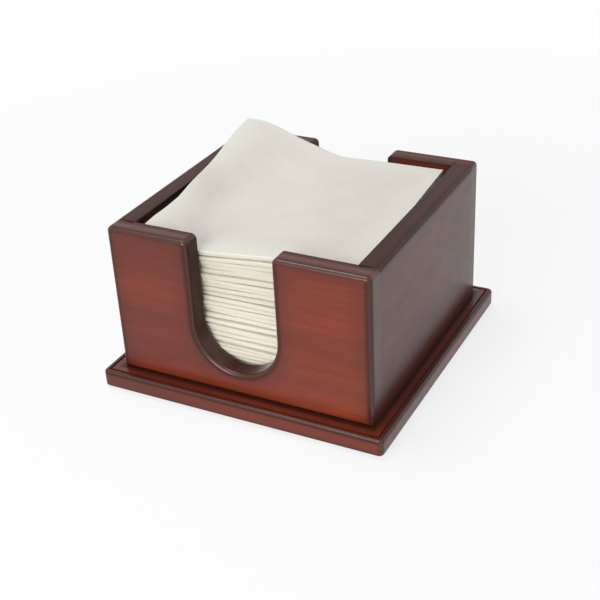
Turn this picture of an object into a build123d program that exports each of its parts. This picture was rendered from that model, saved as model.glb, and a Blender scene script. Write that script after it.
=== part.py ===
from build123d import *
from math import asin, cos, degrees, radians, sin
import os

# A square wooden holder for folded cocktail napkins: four boards glued into an open box on a wider base plate.
# Millimetres. The origin is on the table, under the middle of the holder. +X is right and +Y is the back.

# The napkins that the holder is made for, folded in four
napkin_side = 127.0
napkin_thick = 2.8
napkin_count = 27
napkin_play = 2.0
napkin_drift = 0.9
napkin_fold_round = 0.8

# The boards of the box, with their edges rounded over outside and eased with a small bevel inside
board_thick = 11.5
wall_height = 87.6
corner_round = 3.0
face_round = 2.5
inner_bevel = 0.9

# The finger notches in the front and back boards
notch_width = 49.6
notch_floor = 13.1
notch_lip_round = 3.0
front_notch_shift = -2.1

# The base plate, with a quirk, a fine groove that sets off the bead along its top edge
base_overhang = 9.0
base_thick = 10.5
base_corner_round = 3.0
bead_round = 1.5
under_round = 2.0
quirk_width = 1.2
quirk_depth = 1.2
quirk_inset = 2.5

# Loose tongues, glued into grooves across the four corner joints
tongue_thick = 4.0
tongue_width = 13.0
tongue_in_face = 6.0
tongue_length = 60.0
tongue_from_base = 8.0
groove_end_gap = 0.5

# Countersunk wood screws, driven up through the base plate into the side boards
screw_diameter = 3.2
screw_length = 26.0
screw_head_diameter = 7.0
screw_head_height = 2.2
screw_bore_spare = 1.0
screw_hole_play = 0.25
screw_from_middle = 45.0

# Felt pads under the base plate
pad_diameter = 14.0
pad_thick = 1.2
pad_inset = 22.0

# The loose napkin on top, turned a little and rising to the back, with its back left corner lifted
flap_along_side = 118.0
flap_along_back = 64.0
flap_angle = 24.0
flap_bend = 30.0
top_napkin_turn = 1.4
top_napkin_rise = 5.0

# What follows from these sizes
inner_side = napkin_side + 2 * napkin_play
outer_side = inner_side + 2 * board_thick
base_side = outer_side + 2 * base_overhang
board_middle = (inner_side + board_thick) / 2
base_top = pad_thick + base_thick
wall_top = base_top + wall_height
pile_top = base_top + napkin_count * napkin_thick
notch_radius = notch_width / 2
notch_centre = base_top + notch_floor + notch_radius
screw_tip = pad_thick + screw_length
beyond = 2 * base_side


def column(radius, height):
    """A round bar or bore, standing on z = 0."""
    return Cylinder(radius, height, align=(Align.CENTER, Align.CENTER, Align.MIN))


def cone(lower_radius, upper_radius, height):
    """A tapered column, standing on z = 0."""
    return Cone(lower_radius, upper_radius, height, align=(Align.CENTER, Align.CENTER, Align.MIN))


# ---- The box

def notch_outline(shift):
    """The U of a finger notch, drawn on the upright middle plane, with lips that round over into the top edge."""
    left = shift - notch_radius
    right = shift + notch_radius
    lip = notch_lip_round
    lip_start = wall_top - lip
    bevel = lip * (1 - cos(radians(45)))
    outline = Polyline((left, notch_centre), (left, lip_start))
    outline += ThreePointArc((left, lip_start), (left - bevel, wall_top - bevel), (left - lip, wall_top))
    outline += Polyline(
        (left - lip, wall_top),
        (left - lip, wall_top + lip),
        (right + lip, wall_top + lip),
        (right + lip, wall_top),
    )
    outline += ThreePointArc((right + lip, wall_top), (right + bevel, wall_top - bevel), (right, lip_start))
    outline += Line((right, lip_start), (right, notch_centre))
    floor = (shift, notch_centre - notch_radius)
    outline += ThreePointArc((right, notch_centre), floor, (left, notch_centre))
    return Plane.XZ * make_face(outline)


def glued_box():
    """All four boards in one, as they are after gluing, when the cutter runs round their edges."""
    box = extrude(RectangleRounded(outer_side, outer_side, corner_round), wall_height)
    box -= extrude(Rectangle(inner_side, inner_side), wall_height)
    box = Pos(0, 0, base_top) * box
    box -= extrude(notch_outline(front_notch_shift), outer_side, dir=(0, -1, 0))
    box -= extrude(notch_outline(0), outer_side, dir=(0, 1, 0))
    top_edges = box.edges().filter_by_position(Axis.Z, wall_top, wall_top)
    outside = top_edges.filter_by(Axis.Y).sort_by(Axis.X)[-1]
    box = fillet(outside, face_round)
    top_edges = box.edges().filter_by_position(Axis.Z, wall_top, wall_top)
    inner = inner_side / 2
    left_and_right = [e for e in top_edges.filter_by(Axis.Y) if abs(abs(e.center().X) - inner) < 0.01]
    front_and_back = [e for e in top_edges.filter_by(Axis.X) if abs(abs(e.center().Y) - inner) < 0.01]
    return chamfer(left_and_right + front_and_back, inner_bevel)


def board(box, x, y, width, depth):
    """The share of the glued box that is one board."""
    piece = box & Pos(x, y, base_top) * Box(width, depth, 2 * wall_height)
    return piece - tongues(groove_end_gap)


def face_board(box, side):
    """The front board, side -1, or the back board, side 1, which run the full width."""
    return board(box, 0, side * board_middle, outer_side + board_thick, board_thick)


def side_board(box, side):
    """The left board, side -1, or the right board, side 1, which stand between the front and the back."""
    return board(box, side * board_middle, 0, board_thick, inner_side) - screw_bores()


# ---- What holds the boards

def tongues(end_gap=0.0):
    """The loose tongues of the corner joints, or with an end gap the blind grooves that they are glued into."""
    bars = []
    for x in (-board_middle, board_middle):
        for side in (-1, 1):
            y = side * (inner_side / 2 + tongue_in_face - tongue_width / 2)
            z = base_top + tongue_from_base + tongue_length / 2
            bar = Box(tongue_thick, tongue_width + 2 * end_gap, tongue_length + 2 * end_gap)
            bars.append(Pos(x, y, z) * bar)
    return bars


def screw_places():
    """Two screws under the middle line of each side board."""
    reach = screw_from_middle
    return [(x, y) for x in (-board_middle, board_middle) for y in (-reach, reach)]


def screws():
    """Flat-headed wood screws, stems up, their heads flush with the underside of the plate."""
    screw = cone(screw_head_diameter / 2, screw_diameter / 2, screw_head_height)
    screw += column(screw_diameter / 2, screw_length)
    return [Pos(x, y, pad_thick) * screw for x, y in screw_places()]


def screw_bores():
    """The pilot bores up into the side boards."""
    depth = screw_tip + screw_bore_spare - base_top
    return [Pos(x, y, base_top) * column(screw_diameter / 2, depth) for x, y in screw_places()]


# ---- The base

def base_plate():
    """The wide plate that the box stands on: a bead and its quirk along the top edge, a soft lower edge."""
    plate = extrude(RectangleRounded(base_side, base_side, base_corner_round), base_thick)
    plate = fillet(plate.faces().sort_by(Axis.Z)[-1].edges(), bead_round)
    plate = fillet(plate.faces().sort_by(Axis.Z)[0].edges(), under_round)
    plate = Pos(0, 0, pad_thick) * plate
    quirk_outer = base_side - 2 * quirk_inset
    quirk_inner = quirk_outer - 2 * quirk_width
    ring = RectangleRounded(quirk_outer, quirk_outer, base_corner_round - quirk_inset)
    ring -= Rectangle(quirk_inner, quirk_inner)
    plate -= Pos(0, 0, base_top - quirk_depth) * extrude(ring, 2 * quirk_depth)
    clearance = screw_diameter / 2 + screw_hole_play
    head = cone(screw_head_diameter / 2, screw_diameter / 2, screw_head_height)
    head += column(clearance, 2 * base_thick)
    return plate - [Pos(x, y, pad_thick) * head for x, y in screw_places()]


def foot_pads():
    """Felt discs under the four corners of the base plate."""
    reach = base_side / 2 - pad_inset
    pad = column(pad_diameter / 2, pad_thick)
    return [Pos(x, y, 0) * pad for x in (-reach, reach) for y in (-reach, reach)]


# ---- The napkins

def napkin(number):
    """One napkin of the pile, lying a little out of line, with the folded edge in front rounded."""
    slab = Box(napkin_side, napkin_side, napkin_thick, align=(Align.CENTER, Align.CENTER, Align.MIN))
    slab = fillet(slab.edges().filter_by(Axis.X).group_by(Axis.Y)[0], napkin_fold_round)
    drift_x = napkin_drift * sin(2.1 * number)
    drift_y = napkin_drift * sin(1.3 * number + 1)
    return Pos(drift_x, drift_y, base_top + (number - 1) * napkin_thick) * slab


def bent_sheet(straight):
    """A long sheet, flat up to the fold, which then bends up and runs straight to its end."""
    angle = radians(flap_angle)
    inner_bend = flap_bend - napkin_thick

    def on_bend(radius, turn):
        return (radius * sin(turn), flap_bend - radius * cos(turn))

    under = on_bend(flap_bend, angle)
    over = on_bend(inner_bend, angle)
    run = (straight * cos(angle), straight * sin(angle))
    profile = Line((-beyond, 0), (0, 0))
    profile += ThreePointArc((0, 0), on_bend(flap_bend, angle / 2), under)
    profile += Polyline(under, (under[0] + run[0], under[1] + run[1]), (over[0] + run[0], over[1] + run[1]), over)
    profile += ThreePointArc(over, on_bend(inner_bend, angle / 2), (0, napkin_thick))
    profile += Polyline((0, napkin_thick), (-beyond, napkin_thick), (-beyond, 0))
    return make_face(profile)


def top_napkin():
    """The napkin on top, which rises a little to the back. Its back left corner is lifted along a slanting fold."""
    half = napkin_side / 2
    corner = Vector(-half, half)
    side_point = corner - Vector(0, flap_along_side)
    back_point = corner + Vector(flap_along_back, 0)
    fold = (back_point - side_point).normalized()
    to_corner = Vector(-fold.Y, fold.X)
    reach = (corner - side_point).dot(to_corner)
    angle = radians(flap_angle)
    straight = reach - flap_bend * angle
    tip_reach = flap_bend * sin(angle) + straight * cos(angle)
    tip = corner - to_corner * (reach - tip_reach)
    fold_foot = corner - to_corner * reach
    section = Plane(origin=fold_foot, x_dir=to_corner, z_dir=to_corner.cross(Vector(0, 0, 1)))
    sheet = extrude(section * bent_sheet(straight + beyond), beyond, both=True)
    outline = Rectangle(napkin_side, napkin_side)
    outline -= make_face(Polyline(side_point, corner, tip, close=True))
    outline -= make_face(Polyline(back_point, corner, tip, close=True))
    piece = sheet & extrude(outline, beyond)
    front = piece.edges().filter_by(Axis.X).group_by(Axis.Y)[0]
    piece = fillet(front, napkin_fold_round)
    tilt = Pos(0, -half, 0) * Rot(degrees(asin(top_napkin_rise / napkin_side)), 0, 0) * Pos(0, half, 0)
    return Pos(0, 0, pile_top) * Rot(0, 0, top_napkin_turn) * tilt * piece


# ---- Every piece to its own file

box = glued_box()
pieces = {
    "base_plate": base_plate(),
    "front_board": face_board(box, -1),
    "back_board": face_board(box, 1),
    "left_board": side_board(box, -1),
    "right_board": side_board(box, 1),
    "corner_tongues": Compound(tongues()),
    "base_screws": Compound(screws()),
    "foot_pads": Compound(foot_pads()),
    "top_napkin": top_napkin(),
}
for number in range(1, napkin_count + 1):
    pieces[f"napkin_{number:02d}"] = napkin(number)

os.makedirs("parts", exist_ok=True)
for name, piece in pieces.items():
    export_step(piece, f"parts/{name}.step")
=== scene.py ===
from math import asin, cos, pi, radians, sin

import bmesh
import bpy
from mathutils import Matrix, Vector


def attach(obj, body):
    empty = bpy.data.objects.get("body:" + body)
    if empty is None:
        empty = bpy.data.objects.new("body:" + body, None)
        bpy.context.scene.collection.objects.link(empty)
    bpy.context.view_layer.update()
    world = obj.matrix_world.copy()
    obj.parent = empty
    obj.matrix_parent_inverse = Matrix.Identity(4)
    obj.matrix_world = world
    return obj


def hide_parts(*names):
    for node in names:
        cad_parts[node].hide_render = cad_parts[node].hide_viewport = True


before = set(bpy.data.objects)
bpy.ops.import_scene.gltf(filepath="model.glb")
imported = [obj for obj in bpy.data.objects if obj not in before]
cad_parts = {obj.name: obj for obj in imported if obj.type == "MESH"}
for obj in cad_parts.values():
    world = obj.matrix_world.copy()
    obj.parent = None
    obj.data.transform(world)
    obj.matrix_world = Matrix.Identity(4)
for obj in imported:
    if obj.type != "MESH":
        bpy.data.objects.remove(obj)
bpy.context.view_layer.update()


# ---- Base plate
# A solid board of stained and lacquered wood that the box is glued and screwed to. A cutter has run a
# bead round its top edge, with a fine groove inside the bead, and a rounder edge along the bottom.

base_side = 0.172
base_thick = 0.0105
base_top = 0.0117
base_overhang = 0.009
base_corner_round = 0.003
bead_round = 0.0015
rim_level = base_top - 0.0004
under_round = 0.002
underside = base_top - base_thick
quirk_inset = 0.0025
quirk_width = 0.0012
quirk_depth = 0.0012
wall_slope = 0.0001
screw_place = 0.07125
screw_reach = 0.045
screw_spots = [(x, y) for x in (-screw_place, screw_place) for y in (-screw_reach, screw_reach)]
sink_radius = 0.0037
sink_depth = 0.0023
stem_radius = 0.0016
board_middle_height = 0.055
stain_tones = ((0.36, (0.136, 0.020, 0.009)), (0.66, (0.228, 0.032, 0.011)), (0.90, (0.310, 0.054, 0.012)))
streak_colour = (0.085, 0.012, 0.006, 1)
pore_colour = (0.040, 0.007, 0.004, 1)
# The two dark colours near the edges are partly stain and partly painted shade.
edge_stain_and_shade_colour = (0.060, 0.012, 0.007, 1)
rim_stain_and_shade_colour = (0.036, 0.015, 0.010, 1)


def add_node(tree, kind, inputs=(), **settings):
    """A shader node with its settings and inputs, which are numbers, colours or other nodes' outputs."""
    made = tree.nodes.new(kind)
    for name, value in settings.items():
        setattr(made, name, value)
    for key, value in dict(inputs).items():
        if isinstance(value, bpy.types.NodeSocket):
            tree.links.new(value, made.inputs[key])
        else:
            made.inputs[key].default_value = value
    return made


def start_material(name):
    """A new material: itself, its nodes, its shader and the coordinates of each point of the piece."""
    material = bpy.data.materials.new(name)
    material.use_nodes = True
    tree = material.node_tree
    return material, tree, tree.nodes["Principled BSDF"], tree.nodes.new("ShaderNodeTexCoord").outputs


def maths(tree, operation, a, b=0.0):
    return add_node(tree, "ShaderNodeMath", {0: a, 1: b}, operation=operation).outputs[0]


def least(tree, first, *others):
    for value in others:
        first = maths(tree, "MINIMUM", first, value)
    return first


def mix_colours(tree, share, a, b):
    return add_node(tree, "ShaderNodeMix", {0: share, 6: a, 7: b}, data_type="RGBA").outputs[2]


def tones(tree, value, stops):
    """The colour for a value, blended between stops, each of which is a value and its colour."""
    made = add_node(tree, "ShaderNodeValToRGB", {"Fac": value})
    elements = made.color_ramp.elements
    for number, (position, colour) in enumerate(stops):
        element = elements[number] if number < 2 else elements.new(position)
        element.position = position
        element.color = colour
    return made.outputs["Color"]


def fade(tree, value, start, end):
    """1 where the value is at the start, falling smoothly to 0 at the end."""
    made = add_node(
        tree,
        "ShaderNodeMapRange",
        {"Value": value, "From Min": start, "From Max": end, "To Min": 1.0, "To Max": 0.0},
        interpolation_type="SMOOTHSTEP",
    )
    return made.outputs["Result"]


def grain_noise(tree, place, along, across, thick, seed, detail=3.0):
    """Noise stretched along the grain. The three scales are per metre."""
    stretched = {"Vector": place, "Location": seed, "Scale": (along, across, thick)}
    mapped = add_node(tree, "ShaderNodeMapping", stretched).outputs[0]
    fineness = {"Vector": mapped, "Scale": 1.0, "Detail": detail, "Roughness": 0.6}
    return add_node(tree, "ShaderNodeTexNoise", fineness).outputs["Fac"]


def stained_wood(name, grain_turn, seed, edge_distance, depth=1.0, lustre=0.33, polish=1.0, paling=(0, 0, 0)):
    """Red-brown stain under satin lacquer, darker near the edges: partly stain that gathers there, partly
    painted shade on the round-overs, the tops and the notch. A lower depth darkens the whole board, as
    painted shade for boards that stand in shade, polish is how far its lacquer was rubbed up, and
    paling is how much it lightens per metre along each axis.
    """
    material, tree, shader, coordinates = start_material(name)
    place = coordinates["Object"]
    turned = add_node(tree, "ShaderNodeMapping", {"Vector": place, "Rotation": grain_turn}).outputs[0]

    figure = grain_noise(tree, turned, 5, 34, 34, (seed, seed * 1.7, seed * 0.6))
    streaks = grain_noise(tree, turned, 22, 420, 420, (seed * 2.1, 0, seed), 5.0)
    pores = grain_noise(tree, turned, 260, 3800, 3800, (0, seed, seed), 2.0)
    leaning = add_node(tree, "ShaderNodeVectorMath", {0: place, 1: paling}, operation="DOT_PRODUCT")
    at_middle = board_middle_height * paling[2]
    lightness = maths(tree, "ADD", figure, maths(tree, "SUBTRACT", leaning.outputs["Value"], at_middle))
    deepened = [(at, (depth * r, depth * g, depth * b, 1)) for at, (r, g, b) in stain_tones]
    wood = tones(tree, lightness, deepened)
    streak_share = maths(tree, "MULTIPLY", fade(tree, streaks, 0.36, 0.62), 0.28)
    wood = mix_colours(tree, streak_share, wood, streak_colour)
    pore_share = maths(tree, "MULTIPLY", fade(tree, pores, 0.32, 0.44), 0.25)
    wood = mix_colours(tree, pore_share, wood, pore_colour)

    # Painted shade: the round-overs, the tops and the cut faces of the notch turn dark and reflect less, on
    # top of the stain that gathers at the edges.
    distance = edge_distance(tree, place)
    shaded = maths(tree, "MULTIPLY", fade(tree, distance, 0.0, 0.016), 0.45)
    wood = mix_colours(tree, shaded, wood, edge_stain_and_shade_colour)
    rim = fade(tree, distance, 0.0010, 0.0050)
    wood = mix_colours(tree, maths(tree, "MULTIPLY", rim, 0.76), wood, rim_stain_and_shade_colour)
    tree.links.new(wood, shader.inputs["Base Color"])
    shine = add_node(tree, "ShaderNodeMapRange", {"Value": rim, "To Min": lustre, "To Max": 0.07})
    tree.links.new(shine.outputs["Result"], shader.inputs["Specular IOR Level"])

    gloss = grain_noise(tree, turned, 60, 160, 160, (seed, 3, 1), 4.0)
    roughness = add_node(tree, "ShaderNodeMapRange", {"Value": gloss, "To Min": 0.24, "To Max": 0.42})
    tree.links.new(roughness.outputs["Result"], shader.inputs["Roughness"])
    relief = maths(tree, "ADD", maths(tree, "MULTIPLY", streaks, 0.7), maths(tree, "MULTIPLY", pores, 0.3))
    bump = add_node(tree, "ShaderNodeBump", {"Height": relief, "Strength": 0.10, "Distance": 0.0004})
    tree.links.new(bump.outputs[0], shader.inputs["Normal"])

    facing = add_node(tree, "ShaderNodeSeparateXYZ", {"Vector": coordinates["Normal"]}).outputs
    sideways, forward, upward = (maths(tree, "ABSOLUTE", axis) for axis in facing)
    flatness = maths(tree, "MAXIMUM", maths(tree, "MAXIMUM", sideways, forward), upward)
    rubbed = {"Value": fade(tree, flatness, 0.84, 0.99), "To Min": 0.12 * polish, "To Max": 0.8 * polish}
    lacquer = add_node(tree, "ShaderNodeMapRange", rubbed)
    tree.links.new(lacquer.outputs["Result"], shader.inputs["Coat Weight"])
    shader.inputs["Coat Roughness"].default_value = 0.26
    return material


def both(tree, a, b):
    """The length of the diagonal over two distances at right angles."""
    squares = maths(tree, "ADD", maths(tree, "POWER", a, 2.0), maths(tree, "POWER", b, 2.0))
    return maths(tree, "SQRT", squares)


def short_of(tree, limit, value):
    """How far a value is inside a limit, never below 0."""
    return maths(tree, "MAXIMUM", maths(tree, "SUBTRACT", limit, value), 0.0)


def past(tree, limit, value):
    """How far a value is beyond a limit, never below 0."""
    return maths(tree, "MAXIMUM", maths(tree, "SUBTRACT", value, limit), 0.0)


def plate_edge(tree, place):
    """How far a place is from an outer edge of the base plate, or from the foot of the box. Both count for
    more than they are, so that the dark edges stay narrow.
    """
    axes = add_node(tree, "ShaderNodeSeparateXYZ", {"Vector": place}).outputs
    beside = short_of(tree, base_side / 2, maths(tree, "ABSOLUTE", axes[0]))
    before = short_of(tree, base_side / 2, maths(tree, "ABSOLUTE", axes[1]))
    nearest = least(tree, beside, before)
    to_bead = both(tree, nearest, short_of(tree, rim_level, axes[2]))
    to_bottom = both(tree, nearest, past(tree, underside, axes[2]))
    to_edge = least(tree, both(tree, beside, before), to_bead, to_bottom)
    # Painted shade: the ledge darkens toward the foot of the box, in the corner where box and plate meet.
    to_foot = both(tree, short_of(tree, base_overhang, nearest), short_of(tree, base_top, axes[2]))
    return least(tree, maths(tree, "MULTIPLY", to_edge, 1.7), maths(tree, "MULTIPLY", to_foot, 1.6))


def make_piece(bm, name, body, material):
    """Turns a finished bmesh into a piece that rides on a body. Flat faces keep their own shading."""
    bmesh.ops.remove_doubles(bm, verts=bm.verts, dist=1e-6)
    bmesh.ops.recalc_face_normals(bm, faces=bm.faces)
    mesh = bpy.data.meshes.new(name)
    bm.to_mesh(mesh)
    bm.free()
    mesh.shade_smooth()
    mesh.set_sharp_from_angle(angle=radians(36))
    mesh.materials.append(material)
    piece = bpy.data.objects.new(name, mesh)
    bpy.context.scene.collection.objects.link(piece)
    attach(piece, body)
    return piece


def keep_flats_flat(piece):
    """Keeps the shading of the big flat faces flat, so that only the rounded edges shade round."""
    weighted = piece.modifiers.new("flat_faces", "WEIGHTED_NORMAL")
    weighted.keep_sharp = True
    weighted.weight = 100


def round_over(bm, edges, radius, segments):
    bmesh.ops.bevel(
        bm,
        geom=list(edges),
        offset=radius,
        offset_type="OFFSET",
        affect="EDGES",
        segments=segments,
        profile=0.5,
        material=-1,
        clamp_overlap=False,
    )


def block(width, depth, height, centre):
    """A sharp-edged block, as it comes from the saw."""
    bm = bmesh.new()
    size = Matrix.Diagonal((width, depth, height, 1))
    bmesh.ops.create_cube(bm, size=1, matrix=Matrix.Translation(centre) @ size)
    return bm


def middle(edge):
    return (edge.verts[0].co + edge.verts[1].co) / 2


plate = block(base_side, base_side, base_thick, (0, 0, base_top - base_thick / 2))
upright_edges = [e for e in plate.edges if abs(e.verts[0].co.z - e.verts[1].co.z) > 0.001]
round_over(plate, upright_edges, base_corner_round, 8)
for level, radius, segments in ((base_top, bead_round, 5), (underside, under_round, 7)):
    rim = [e for e in plate.edges if all(abs(v.co.z - level) < 1e-6 for v in e.verts)]
    round_over(plate, rim, radius, segments)

# The quirk: down one wall, across its floor and up the other wall, with sharp corners inside the bead
ledge = [f for f in plate.faces if f.normal.z > 0.99 and f.calc_area() > 0.01]
bmesh.ops.inset_region(plate, faces=ledge, thickness=quirk_inset - bead_round, use_even_offset=True)
bmesh.ops.inset_region(plate, faces=ledge, thickness=wall_slope, depth=-quirk_depth, use_even_offset=True)
for side_x in (-1, 1):
    for side_y in (-1, 1):
        rounded = [v for v in ledge[0].verts if v.co.x * side_x > 0 and v.co.y * side_y > 0]
        sharp = sum((v.co for v in rounded), Vector()) / len(rounded)
        bmesh.ops.pointmerge(plate, verts=rounded, merge_co=sharp)
bmesh.ops.inset_region(plate, faces=ledge, thickness=quirk_width - 2 * wall_slope, use_even_offset=True)
bmesh.ops.inset_region(plate, faces=ledge, thickness=wall_slope, depth=quirk_depth, use_even_offset=True)

# The countersinks for the four screws
flat_bottom = [f for f in plate.faces if f.normal.z < -0.99 and f.calc_area() > 0.01]
bottom_edges = flat_bottom[0].edges[:]
bmesh.ops.delete(plate, geom=flat_bottom, context="FACES_ONLY")
mouths = []
for x, y in screw_spots:
    spot = Matrix.Translation((x, y, underside))
    circle = bmesh.ops.create_circle(plate, cap_ends=False, segments=32, radius=sink_radius, matrix=spot)
    mouths.append(list({e for v in circle["verts"] for e in v.link_edges}))
around = bottom_edges + [e for mouth in mouths for e in mouth]
bmesh.ops.triangle_fill(plate, use_beauty=True, edges=around, normal=(0, 0, -1))
narrowed = stem_radius / sink_radius
for (x, y), mouth in zip(screw_spots, mouths):
    cone = bmesh.ops.extrude_edge_only(plate, edges=mouth)["geom"]
    end = [v for v in cone if isinstance(v, bmesh.types.BMVert)]
    on_axis = Matrix.Translation((-x, -y, -underside))
    bmesh.ops.scale(plate, verts=end, vec=(narrowed, narrowed, 1), space=on_axis)
    bmesh.ops.translate(plate, verts=end, vec=(0, 0, sink_depth))
    cone_edges = [e for e in cone if isinstance(e, bmesh.types.BMEdge)]
    bmesh.ops.edgeloop_fill(plate, edges=[e for e in cone_edges if all(v in end for v in e.verts)])

base_wood = stained_wood("base_wood", (0, 0, 0), 3.1, plate_edge)
base = make_piece(plate, "base_board", "holder", base_wood)
keep_flats_flat(base)
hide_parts("base_plate")


# ---- Front and back boards
# Two boards as wide as the box, each with a U-shaped notch for the fingers, cut with a band saw and
# sanded. The round-over along the outer face follows the top edge, the two lips and the notch.

outer = 0.077
inner = 0.0655
wall_top = 0.0993
corner_round = 0.003
face_round = 0.0025
inner_bevel = 0.0006
notch_radius = 0.0248
notch_floor = 0.0131
notch_centre = base_top + notch_floor + notch_radius
lip_round = 0.003
front_notch_shift = -0.0021


def arc(bm, start, centre, turn, steps):
    """Carries the outline on from a vertex along an arc, and gives the arc's last vertex."""
    swept = bmesh.ops.spin(bm, geom=[start], cent=centre, axis=(0, 1, 0), angle=turn, steps=steps)
    return [v for v in swept["geom_last"] if isinstance(v, bmesh.types.BMVert)][0]


def line(bm, start, x, z):
    """Carries the outline on from a vertex along a straight line."""
    end = bm.verts.new((x, -outer, z))
    bm.edges.new((start, end))
    return end


def face_board(name, side, shift, material, end_material):
    """The board with its round-overs. Its ends, on the sides of the box, are darker: end grain takes more
    stain, and the rest is painted shade.
    """
    bm = bmesh.new()
    left = shift - notch_radius
    right = shift + notch_radius
    shoulder = wall_top - lip_round
    first = bm.verts.new((-outer, -outer, base_top))
    end = line(bm, first, -outer, wall_top)
    end = line(bm, end, -inner, wall_top)
    end = line(bm, end, left - lip_round, wall_top)
    end = arc(bm, end, (left - lip_round, -outer, shoulder), pi / 2, 8)
    end = line(bm, end, left, notch_centre)
    end = arc(bm, end, (shift, -outer, notch_centre), -pi, 48)
    end = line(bm, end, right, shoulder)
    end = arc(bm, end, (right + lip_round, -outer, shoulder), pi / 2, 8)
    end = line(bm, end, inner, wall_top)
    end = line(bm, end, outer, wall_top)
    end = line(bm, end, outer, base_top)
    bm.edges.new((end, first))
    outline = bmesh.ops.edgeloop_fill(bm, edges=bm.edges[:])["faces"]
    thick = bmesh.ops.extrude_face_region(bm, geom=outline, use_keep_orig=True)["geom"]
    moved = [v for v in thick if isinstance(v, bmesh.types.BMVert)]
    bmesh.ops.translate(bm, verts=moved, vec=(0, outer - inner, 0))
    bmesh.ops.recalc_face_normals(bm, faces=bm.faces)

    def on_corner(vert):
        return abs(vert.co.x) > outer - 1e-6 and vert.co.y < -outer + 1e-6

    corners = [e for e in bm.edges if all(on_corner(v) for v in e.verts)]
    round_over(bm, corners, corner_round, 8)

    def cut_face(face):
        """A face of the sawn edge: the top, a lip or the inside of the notch."""
        inside = abs(face.calc_center_median().x) < outer - 1e-6
        return inside and abs(face.normal.y) < 0.01 and face.normal.z > -0.01

    def inside_face(face):
        return face.normal.y > 0.5

    def wall_face(face):
        return abs(face.normal.z) < 0.01 and not cut_face(face) and not inside_face(face)

    def on_edge(edge, other):
        sides = edge.link_faces
        return len(sides) == 2 and any(cut_face(f) for f in sides) and any(other(f) for f in sides)

    inner_edges = [e for e in bm.edges if on_edge(e, inside_face) and abs(middle(e).x) < inner]
    outer_edges = [e for e in bm.edges if on_edge(e, wall_face)]
    round_over(bm, inner_edges, inner_bevel, 3)
    round_over(bm, outer_edges, face_round, 7)
    for face in bm.faces:
        if abs(face.normal.x) > 0.8 and abs(face.calc_center_median().x) > outer - 0.001:
            face.material_index = 1
    if side > 0:
        bmesh.ops.rotate(bm, verts=bm.verts, cent=(0, 0, 0), matrix=Matrix.Rotation(pi, 3, "Z"))
    board = make_piece(bm, name, "holder", material)
    board.data.materials.append(end_material)
    keep_flats_flat(board)
    return board


def face_board_edge(shift):
    """How far a place is from the nearest of a face board's top, its ends and its notch."""

    def distance(tree, place):
        axes = add_node(tree, "ShaderNodeSeparateXYZ", {"Vector": place}).outputs
        from_middle = maths(tree, "ABSOLUTE", axes[1])
        behind = short_of(tree, outer, from_middle)
        arris = maths(tree, "MULTIPLY", least(tree, behind, past(tree, inner, from_middle)), 0.75)
        under_top = maths(tree, "MULTIPLY", short_of(tree, wall_top, axes[2]), 1.6)
        to_end = both(tree, behind, short_of(tree, outer, maths(tree, "ABSOLUTE", axes[0])))
        beside = maths(tree, "ABSOLUTE", maths(tree, "SUBTRACT", axes[0], shift))
        to_notch = past(tree, notch_radius, both(tree, beside, short_of(tree, notch_centre, axes[2])))
        return least(tree, to_notch, both(tree, arris, under_top), to_end)

    return distance


front_edge = face_board_edge(front_notch_shift)
front_wood = stained_wood("front_wood", (0, 0, 0), 7.3, front_edge, paling=(0.9, 0, -2.2))
# The ends take a darker copy of the stain: end grain takes more stain, and the rest is painted shade on the
# sides of the box.
end_wood = stained_wood("end_wood", (0, 0, 0), 5.4, front_edge, 0.5, 0.42)
front = face_board("front_panel", -1, front_notch_shift, front_wood, end_wood)
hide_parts("front_board")
# A darker copy of the stain, as painted shade for the back board, which stands in shade.
back_wood = stained_wood("back_wood", (0, 0, 0), 11.9, face_board_edge(0.0), 0.62, 0.15, 0.4)
back = face_board("back_panel", 1, 0.0, back_wood, end_wood)
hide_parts("back_board")


# ---- Left and right boards
# Two plain boards glued between the front and the back ones, with the same round-over along the outer
# top edge and a small bevel inside. Their grain runs from front to back.


def side_board_edge(tree, place):
    """How far a place is from a side board's top edge or from the box's corners."""
    axes = add_node(tree, "ShaderNodeSeparateXYZ", {"Vector": place}).outputs
    from_middle = maths(tree, "ABSOLUTE", axes[0])
    behind = short_of(tree, outer, from_middle)
    arris = maths(tree, "MULTIPLY", least(tree, behind, past(tree, inner, from_middle)), 0.3)
    to_top = both(tree, arris, short_of(tree, wall_top, axes[2]))
    to_end = both(tree, behind, short_of(tree, outer, maths(tree, "ABSOLUTE", axes[1])))
    return least(tree, to_top, to_end)


def long_top_edge(bm, x):
    """The long edge along the top of a side board, at a distance x from the middle of the box."""
    along = [e for e in bm.edges if abs(middle(e).y) < 1e-6 and middle(e).z > wall_top - 1e-6]
    return [e for e in along if abs(abs(middle(e).x) - x) < 1e-6]


for side, hand, seed in ((-1, "left", 17.2), (1, "right", 23.6)):
    centre = (side * (outer + inner) / 2, 0, (wall_top + base_top) / 2)
    side_board = block(outer - inner, 2 * inner, wall_top - base_top, centre)
    round_over(side_board, long_top_edge(side_board, inner), inner_bevel, 3)
    round_over(side_board, long_top_edge(side_board, outer), face_round, 7)
    # A darker copy of the stain, as painted shade for the shaded sides of the box.
    panel_wood = stained_wood(f"{hand}_panel_wood", (0, 0, pi / 2), seed, side_board_edge, 0.5, 0.35, 0.5)
    panel = make_piece(side_board, f"{hand}_panel", "holder", panel_wood)
    keep_flats_flat(panel)
    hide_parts(f"{hand}_board")


# ---- Tongues in the corner joints
# Loose strips of unstained plywood, glued into grooves across the four corner joints. Nothing of them
# shows from outside.

raw_tones = ((0.0, (0.33, 0.19, 0.09, 1)), (1.0, (0.62, 0.44, 0.25, 1)))

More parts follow.
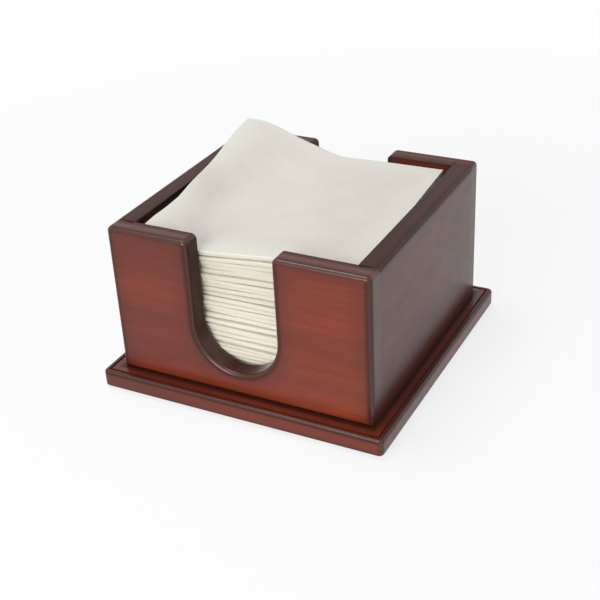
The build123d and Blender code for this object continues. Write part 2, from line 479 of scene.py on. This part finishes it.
raw_wood, raw_tree, raw_shader, raw_coordinates = start_material("raw_wood")
raw_figure = grain_noise(raw_tree, raw_coordinates["Object"], 900, 900, 30, (0, 0, 0), 4.0)
raw_tree.links.new(tones(raw_tree, raw_figure, raw_tones), raw_shader.inputs["Base Color"])
raw_shader.inputs["Roughness"].default_value = 0.75
tongue_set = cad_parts["corner_tongues"].data
tongue_set.materials.clear()
tongue_set.materials.append(raw_wood)


# ---- Screws
# Four countersunk wood screws of yellow-grey plated steel, driven up through the base into the side
# boards. From below only their flat heads with a cross recess show.

screw_length = 0.026
head_radius = 0.0035
head_edge = 0.0002
head_thick = 0.0022
thread_start = 0.006
thread_turns = 12
thread_depth = 0.0005
point_length = 0.003
recess_middle = 0.0008
recess_reach = 0.0020
recess_depth = 0.0012
recess_taper = 0.75
plating_tones = ((0.0, (0.45, 0.39, 0.30, 1)), (1.0, (0.74, 0.69, 0.60, 1)))


def plain_noise(tree, place, scale, detail):
    """Noise without a direction. The scale is per metre."""
    made = add_node(tree, "ShaderNodeTexNoise", {"Vector": place, "Scale": scale, "Detail": detail})
    return made.outputs["Fac"]


plated, plated_tree, plated_shader, plated_coordinates = start_material("plated_steel")
tarnish = plain_noise(plated_tree, plated_coordinates["Object"], 900.0, 4.0)
plated_tree.links.new(tones(plated_tree, tarnish, plating_tones), plated_shader.inputs["Base Color"])
dulled = add_node(plated_tree, "ShaderNodeMapRange", {"Value": tarnish, "To Min": 0.22, "To Max": 0.5})
plated_tree.links.new(dulled.outputs["Result"], plated_shader.inputs["Roughness"])
plated_shader.inputs["Metallic"].default_value = 1.0


def screw_profile(bm):
    """Half of a screw's outline: the flat head, the cone above it, the threaded stem and the point."""
    points = [(0, 0), (recess_middle, 0), (recess_reach, 0), (head_radius - head_edge, 0)]
    points += [(head_radius, head_edge), (stem_radius, head_thick), (stem_radius, thread_start)]
    pitch = (screw_length - thread_start - point_length) / thread_turns
    core = stem_radius - thread_depth
    for turn in range(thread_turns):
        low = thread_start + turn * pitch
        points += [(core, low + 0.3 * pitch), (stem_radius, low + 0.65 * pitch), (core, low + pitch)]
    points += [(0, screw_length)]
    verts = [bm.verts.new((x, 0, z)) for x, z in points]
    return verts + [bm.edges.new(pair) for pair in zip(verts, verts[1:])]


def in_recess(face):
    """Whether a facet of the flat head lies in the cross: near the middle or on one of the four arms."""
    spot = face.calc_center_median()
    reach = spot.xy.length
    arm = max(abs(spot.x), abs(spot.y)) > reach * cos(pi / 12)
    return spot.z < 1e-6 and (reach < recess_middle or (arm and reach < recess_reach))


screws = bmesh.new()
for x, y in screw_spots:
    one = bmesh.new()
    profile = screw_profile(one)
    bmesh.ops.spin(one, geom=profile, axis=(0, 0, 1), angle=2 * pi, steps=24, use_merge=True)
    bmesh.ops.remove_doubles(one, verts=one.verts, dist=1e-6)
    bmesh.ops.recalc_face_normals(one, faces=one.faces)
    cross = [f for f in one.faces if in_recess(f)]
    recess = bmesh.ops.extrude_face_region(one, geom=cross)["geom"]
    bottom = [v for v in recess if isinstance(v, bmesh.types.BMVert)]
    bmesh.ops.delete(one, geom=cross, context="FACES")
    bmesh.ops.scale(one, verts=bottom, vec=(recess_taper, recess_taper, 1))
    bmesh.ops.translate(one, verts=bottom, vec=(0, 0, recess_depth))
    bmesh.ops.translate(one, verts=one.verts, vec=(x, y, underside))
    loose = bpy.data.meshes.new("screw")
    one.to_mesh(loose)
    one.free()
    screws.from_mesh(loose)
    bpy.data.meshes.remove(loose)
screw_set = make_piece(screws, "screws", "holder", plated)
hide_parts("base_screws")


# ---- Felt pads
# Four discs punched from dark brown felt and stuck under the corners of the base, so that it doesn't
# scratch the table.

pad_radius = 0.007
pad_thick = 0.0012
pad_reach = 0.064
pad_edge_round = 0.0003
fibre_tones = ((0.0, (0.018, 0.012, 0.010, 1)), (1.0, (0.085, 0.060, 0.048, 1)))

felt, felt_tree, felt_shader, felt_coordinates = start_material("felt")
fibres = plain_noise(felt_tree, felt_coordinates["Object"], 2600.0, 5.0)
felt_tree.links.new(tones(felt_tree, fibres, fibre_tones), felt_shader.inputs["Base Color"])
felt_bump = add_node(felt_tree, "ShaderNodeBump", {"Height": fibres, "Strength": 0.7, "Distance": 0.0003})
felt_tree.links.new(felt_bump.outputs[0], felt_shader.inputs["Normal"])
felt_shader.inputs["Roughness"].default_value = 1.0
felt_shader.inputs["Sheen Weight"].default_value = 0.3

pad_spots = [(x, y) for x in (-pad_reach, pad_reach) for y in (-pad_reach, pad_reach)]
for number, (x, y) in enumerate(pad_spots, 1):
    disc = bmesh.new()
    bmesh.ops.create_cone(
        disc,
        cap_ends=True,
        segments=40,
        radius1=pad_radius,
        radius2=pad_radius,
        depth=pad_thick,
        matrix=Matrix.Translation((x, y, pad_thick / 2)),
    )
    rims = [e for e in disc.edges if abs(e.verts[0].co.z - e.verts[1].co.z) < 1e-6]
    round_over(disc, rims, pad_edge_round, 2)
    pad = make_piece(disc, f"felt_pad_{number}", "holder", felt)
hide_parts("foot_pads")


# ---- Pile of napkins
# Soft paper napkins, 254 mm square when open, folded in half and in half again. The last fold lies in
# front, wraps the two inner plies and makes the edges that show in the notch, some pressed square.

napkin_side = 0.127
napkin_thick = 0.0028
napkin_count = 27
napkin_drift = 0.0009
ply_pitch = 0.00078
ply_thick = 0.00036
pile_top = base_top + napkin_count * napkin_thick
paper_tones = ((0.3, (0.70, 0.645, 0.59, 1)), (0.7, (0.80, 0.750, 0.70, 1)))
margin_colour = (0.79, 0.785, 0.71, 1)
# The edge colours of the pile: yellower paper, with painted shade above and painted light below.
shaded_upper_edge_colour = (0.69, 0.64, 0.52, 1)
lit_lower_edge_colour = (0.89, 0.845, 0.70, 1)


def napkin_paper():
    """Soft creped tissue, cloudy where the pulp lies thinner, with greener margins. The edges in the pile
    are yellower, with painted shade toward the top of the pile and painted light toward its foot.
    """
    material, tree, shader, coordinates = start_material("napkin_paper")
    place = coordinates["Object"]
    pulp = plain_noise(tree, place, 900.0, 6.0)
    clouds = plain_noise(tree, place, 38.0, 3.0)
    mixed = maths(tree, "ADD", maths(tree, "MULTIPLY", pulp, 0.5), maths(tree, "MULTIPLY", clouds, 0.5))
    axes = add_node(tree, "ShaderNodeSeparateXYZ", {"Vector": place}).outputs
    farther = maths(tree, "MAXIMUM", maths(tree, "ABSOLUTE", axes[0]), maths(tree, "ABSOLUTE", axes[1]))
    margin = fade(tree, short_of(tree, napkin_side / 2, farther), 0.001, 0.020)
    greener = maths(tree, "MULTIPLY", margin, 0.85)
    paper_tone = mix_colours(tree, greener, tones(tree, mixed, paper_tones), margin_colour)
    upward = add_node(tree, "ShaderNodeSeparateXYZ", {"Vector": coordinates["Normal"]}).outputs[2]
    sideways = fade(tree, maths(tree, "ABSOLUTE", upward), 0.35, 0.85)
    in_pile = fade(tree, axes[2], pile_top - 0.003, pile_top)
    on_edge = maths(tree, "MULTIPLY", maths(tree, "MAXIMUM", sideways, in_pile), margin)
    # Painted shade and light: the edges in the pile darker toward the top and paler toward the foot.
    lower = fade(tree, axes[2], base_top, pile_top)
    edge_tone = mix_colours(tree, lower, shaded_upper_edge_colour, lit_lower_edge_colour)
    paper_tone = mix_colours(tree, on_edge, paper_tone, edge_tone)
    tree.links.new(paper_tone, shader.inputs["Base Color"])
    creping = plain_noise(tree, place, 1500.0, 4.0)
    bump = add_node(tree, "ShaderNodeBump", {"Height": creping, "Strength": 0.35, "Distance": 0.0002})
    tree.links.new(bump.outputs[0], shader.inputs["Normal"])
    shader.inputs["Roughness"].default_value = 0.95
    shader.inputs["Specular IOR Level"].default_value = 0.2
    shader.inputs["Sheen Weight"].default_value = 0.15
    return material


paper = napkin_paper()


def open_place(share):
    """Where a line of the grid lies on the open napkin, from its middle: close together near the fold."""
    size = abs(share)
    return (0.03 * size + 0.97 * size**3) * (napkin_side if share > 0 else -napkin_side)


def round_fold(distance, radius):
    """How far from the fold's middle a point of the sheet lies, and how far over to one side, -1 to 1."""
    turn = min(abs(distance) / radius, pi / 2)
    return abs(distance) - radius * turn - radius * cos(turn), sin(turn) if distance > 0 else -sin(turn)


def folded_place(u, v, flatness):
    """Where a point of the open napkin comes to lie once it is folded: x, y and the height above the foot
    of the napkin. Flatness is how square the front fold is pressed, from 0 to 1.
    """
    half = napkin_side / 2
    x, over = round_fold(v, 0.5 * ply_pitch)
    radius = ply_pitch * (1 - 0.5 * over)
    y, side = round_fold(u, radius)
    y += flatness * radius * cos(min(abs(u) / radius, pi / 2))
    edge_x = -half + 0.5 * ply_pitch + ply_thick / 2
    edge_y = -half + (1 - flatness) * 1.5 * ply_pitch + ply_thick / 2
    return edge_x + x, edge_y + y, 1.5 * ply_pitch + ply_thick / 2 - side * radius


def folded_napkin(steps, flatness):
    """An open sheet with its grid drawn close along the two folds, folded in four."""
    bm = bmesh.new()
    bmesh.ops.create_grid(bm, x_segments=steps, y_segments=steps, size=1)
    for vert in bm.verts:
        vert.co = folded_place(open_place(vert.co.x), open_place(vert.co.y), flatness)
    return bm


def add_plies(piece):
    """Gives the sheet the thickness of its paper."""
    plies = piece.modifiers.new("plies", "SOLIDIFY")
    plies.thickness = ply_thick
    plies.offset = 0
    keep_flats_flat(piece)


def heaped(x, y, z):
    """How much the pile's upper napkins rise to the right and sink on the left, most of all in front."""
    share = ((z - base_top) / (napkin_count * napkin_thick)) ** 3
    near_front = 1 - 0.7 * (y + napkin_side / 2) / napkin_side
    return 0.0019 * share * near_front * max(-1, min(1, (x + 0.005) / 0.021))


gap_over = (8, 12)
gap_dip = 0.4
pressed_square = (23, 24, 25)

for number in range(1, napkin_count + 1):
    flatness = 0.95 if number in pressed_square else 0.45 + 0.3 * sin(2.9 * number)
    thickness = 1.0 if number in pressed_square else 0.94 + 0.03 * sin(3.7 * number)
    dip = gap_dip if number in gap_over else 0.0
    drift_x = napkin_drift * sin(2.1 * number)
    drift_y = napkin_drift * sin(1.3 * number + 1)
    foot = base_top + (number - 1) * napkin_thick
    napkin = folded_napkin(44, flatness)
    for vert in napkin.verts:
        x, y, z = vert.co
        wave = 0.0001 * sin(95 * x + number) * sin(80 * y + 2.3 * number)
        edge = 0.0005 * sin(60 * x + 1.9 * number)
        in_front = max(0, min(1, (-0.045 - y) / 0.018))
        z = foot + z * (thickness - dip * in_front + wave / napkin_thick)
        vert.co = (x + drift_x, y + drift_y + edge, z + heaped(x, y, z))
    folded = make_piece(napkin, f"folded_napkin_{number:02d}", "napkin_pile", paper)
    add_plies(folded)
    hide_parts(f"napkin_{number:02d}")


# ---- Top napkin
# The napkin on top of the pile lies loose and turned a little. It rises to the back, its left margin
# curls up beside the left board, and its back left corner is bent up along a slanting fold.

flap_along_side = 0.113
flap_along_back = 0.071
flap_angle = radians(26)
flap_bend = 0.030
flap_levels = 0.040
level_bend = 0.034
top_turn = radians(2.0)
top_shift = -0.0010
top_rise = 0.005
top_clearance = 0.0004

corner = Vector((-napkin_side / 2, napkin_side / 2))
side_point = corner - Vector((0, flap_along_side))
back_point = corner + Vector((flap_along_back, 0))
fold_line = (back_point - side_point).normalized()
to_corner = Vector((-fold_line.y, fold_line.x))


def bent_up(x, y, z):
    """Carries a point of the flat napkin up along the slanting fold. Near the corner it levels out again."""
    over_fold = (Vector((x, y)) - side_point).dot(to_corner)
    if over_fold <= 0:
        return x, y, z
    rising = min(over_fold / flap_bend, flap_angle)
    straight = min(over_fold, flap_levels) - flap_bend * rising
    last = rising - max(0, over_fold - flap_levels) / level_bend
    forward = flap_bend * sin(rising) + straight * cos(rising) + level_bend * (sin(rising) - sin(last))
    up = flap_bend * (1 - cos(rising)) + straight * sin(rising) + level_bend * (cos(last) - cos(rising))
    place = Vector((x, y)) + to_corner * (forward - z * sin(last) - over_fold)
    return place.x, place.y, up + z * cos(last)


def curled(x, y):
    """How far the left margin curls up beside the left board, most of all in front."""
    margin = max(0, min(1, (-0.034 - x) / 0.0295))
    front_share = max(0, min(1, (0.020 - y) / 0.040))
    return (0.0015 + 0.0068 * front_share**2 * (3 - 2 * front_share)) * margin**2 * (3 - 2 * margin)


loose_napkin = folded_napkin(72, 0.5)
tilt = Matrix.Rotation(asin(top_rise / napkin_side), 4, "X")
hinge = Matrix.Translation((0, -napkin_side / 2, 0))
on_pile = Matrix.Translation((top_shift, 0, pile_top)) @ Matrix.Rotation(top_turn, 4, "Z")
lie = on_pile @ hinge @ tilt @ hinge.inverted()
for vert in loose_napkin.verts:
    x, y, z = vert.co
    wave = 0.0003 * sin(70 * x + 1.1) * sin(55 * y + 0.4) + 0.0002 * sin(140 * y - 60 * x)
    slack = (0.5 + y / napkin_side) * (1 - (2 * max(0, x) / napkin_side) ** 2)
    z = z * 0.96 + wave * slack + curled(x, y) + heaped(x, y, pile_top) + top_clearance
    vert.co = lie @ Vector(bent_up(x, y, z))
top = make_piece(loose_napkin, "loose_top_napkin", "loose_napkin", paper)
add_plies(top)
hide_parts("top_napkin")


# ---- Studio
# A white table that runs on without a horizon, one large soft lamp low in front and one high on the
# left, and the camera where the photographer stood.

table = bmesh.new()
bmesh.ops.create_grid(table, x_segments=2, y_segments=2, size=30)
table_mesh = bpy.data.meshes.new("table")
table.to_mesh(table_mesh)
table.free()
table_top = bpy.data.objects.new("table", table_mesh)
bpy.context.scene.collection.objects.link(table_top)
white, white_tree, white_shader, white_coordinates = start_material("white_table")
white_shader.inputs["Base Color"].default_value = (0.92, 0.94, 0.98, 1)
white_shader.inputs["Roughness"].default_value = 0.9
white_shader.inputs["Specular IOR Level"].default_value = 0.1


def seen_directly(tree):
    """1 for what the camera sees, also in a reflection, and 0 for the light that falls on the object."""
    rays = tree.nodes.new("ShaderNodeLightPath").outputs
    through = maths(tree, "MAXIMUM", rays["Is Glossy Ray"], rays["Is Transmission Ray"])
    return maths(tree, "MAXIMUM", rays["Is Camera Ray"], through)


far_out = add_node(white_tree, "ShaderNodeVectorMath", {0: white_coordinates["Object"]}, operation="LENGTH")
shadow_share = maths(white_tree, "MULTIPLY", fade(white_tree, far_out.outputs["Value"], 0.12, 0.80), 0.22)
unshaded = maths(white_tree, "SUBTRACT", 1.0, shadow_share)
glow_share = maths(white_tree, "MULTIPLY", seen_directly(white_tree), unshaded)
glow = add_node(white_tree, "ShaderNodeEmission", {"Color": (1, 1, 1, 1), "Strength": 1.0})
table_shades = {0: glow_share, 1: white_shader.outputs[0], 2: glow.outputs[0]}
whitened = add_node(white_tree, "ShaderNodeMixShader", table_shades)
white_tree.links.new(whitened.outputs[0], white_tree.nodes["Material Output"].inputs["Surface"])
table_mesh.materials.append(white)

world = bpy.data.worlds.new("studio")
bpy.context.scene.world = world
world.use_nodes = True
world_tree = world.node_tree
room = world_tree.nodes["Background"]
room.inputs["Color"].default_value = (1, 1, 1, 1)
room.inputs["Strength"].default_value = 0.30
backdrop = add_node(world_tree, "ShaderNodeBackground", {"Color": (1, 1, 1, 1), "Strength": 1.0})
surroundings = {0: seen_directly(world_tree), 1: room.outputs[0], 2: backdrop.outputs[0]}
sky = add_node(world_tree, "ShaderNodeMixShader", surroundings)
world_tree.links.new(sky.outputs[0], world_tree.nodes["World Output"].inputs["Surface"])


def soft_lamp(name, place, aim, size, power):
    lamp = bpy.data.lights.new(name, "AREA")
    lamp.shape = "DISK"
    lamp.size = size
    lamp.energy = power
    stand = bpy.data.objects.new(name, lamp)
    bpy.context.scene.collection.objects.link(stand)
    stand.location = place
    stand.rotation_euler = (Vector(aim) - Vector(place)).to_track_quat("-Z", "Y").to_euler()


soft_lamp("front_lamp", (-0.05, -1.38, 0.58), (0, 0, 0.05), 0.9, 14.5)
soft_lamp("top_lamp", (-0.4, 0, 1.5), (0, 0, 0.05), 0.8, 10)

camera_place = (0.27876, -0.52047, 0.36633)
azimuth = radians(28.455)
elevation = radians(29.624)
roll = radians(-3.120)
back_vector = Vector((sin(azimuth) * cos(elevation), -cos(azimuth) * cos(elevation), sin(elevation)))
level_right = Vector((cos(azimuth), sin(azimuth), 0))
level_up = back_vector.cross(level_right)
right_vector = cos(roll) * level_right + sin(roll) * level_up
up_vector = -sin(roll) * level_right + cos(roll) * level_up
camera_turn = Matrix((right_vector, up_vector, back_vector)).transposed().to_4x4()
camera_data = bpy.data.cameras.new("camera")
camera_data.sensor_width = 36
camera_data.lens = 69.79
camera = bpy.data.objects.new("camera", camera_data)
bpy.context.scene.collection.objects.link(camera)
camera.matrix_world = Matrix.Translation(camera_place) @ camera_turn
bpy.context.scene.camera = camera
bpy.context.scene.view_settings.view_transform = "Standard"
